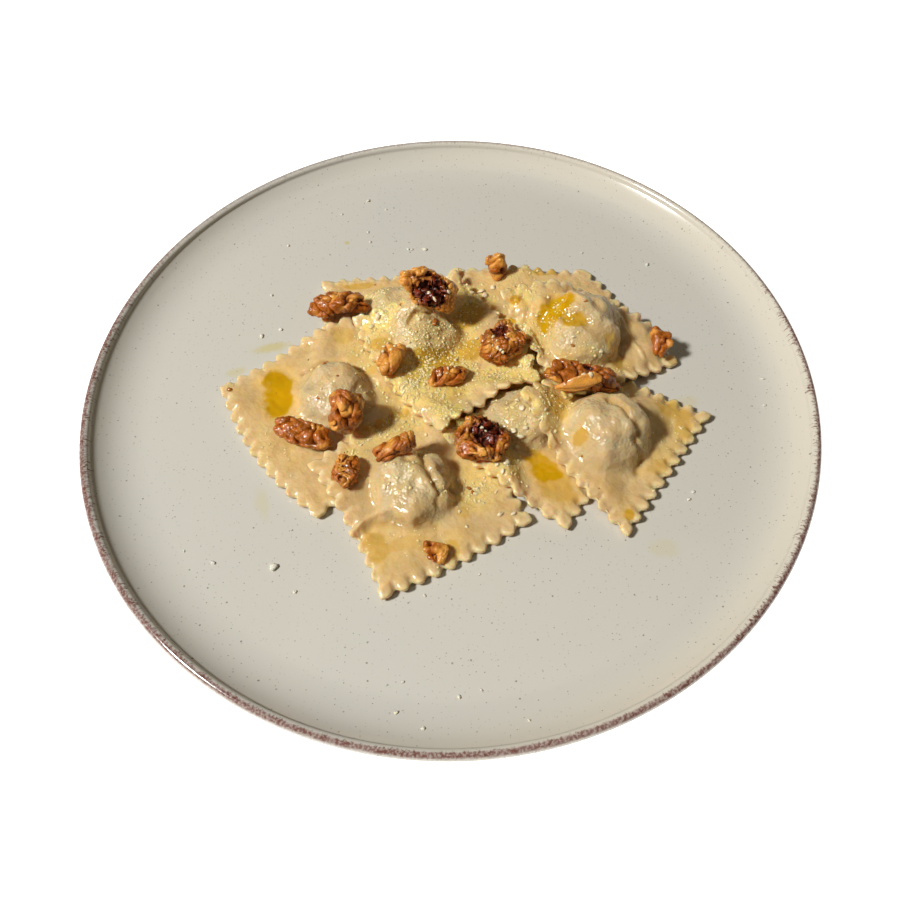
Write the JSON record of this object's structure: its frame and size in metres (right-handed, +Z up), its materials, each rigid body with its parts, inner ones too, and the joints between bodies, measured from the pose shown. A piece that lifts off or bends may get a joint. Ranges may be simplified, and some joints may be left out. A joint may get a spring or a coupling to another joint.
{
  "type": "plated ravioli with walnuts",
  "caption": "Large square ravioli with fluted edges and filled domes, overlapping on a speckled cream stoneware plate, topped with walnut pieces, grated cheese and golden oil",
  "frame": {"origin": "the middle of the plate, at the height of the surface that its foot ring stands on", "axes": "+Z is up, out of the plate; +X is to the diner's right; -Y is the side of the plate nearest the diner"},
  "size_m": [0.28, 0.28, 0.0395],
  "materials": {
    "glaze": "glossy speckled stoneware glaze with a brushed brown rim",
    "dough": "cooked egg pasta, wet with oil",
    "walnut": "toasted walnut kernel with a thin papery skin"
  },
  "bodies": {
    "root": {"plate": "glaze", "raviolo_back_right": "dough", "raviolo_back_left": "dough", "raviolo_left": "dough", "raviolo_front": "dough", "raviolo_middle": "dough", "raviolo_right": "dough", "raviolo_centre": "dough", "raviolo_upper_right": "dough", "walnut_arched": "walnut", "walnut_hollow_quarter": "walnut", "walnut_stub": "walnut", "walnut_kernel": "walnut", "walnut_cheesy": "walnut", "walnut_oval": "walnut", "walnut_long": "walnut", "walnut_three_lobes": "walnut", "walnut_lobed": "walnut", "walnut_upright": "walnut", "walnut_brain": "walnut", "walnut_oblong": "walnut", "walnut_dark_core": "walnut", "walnut_crumb": "walnut"}
  },
  "joints": []
}
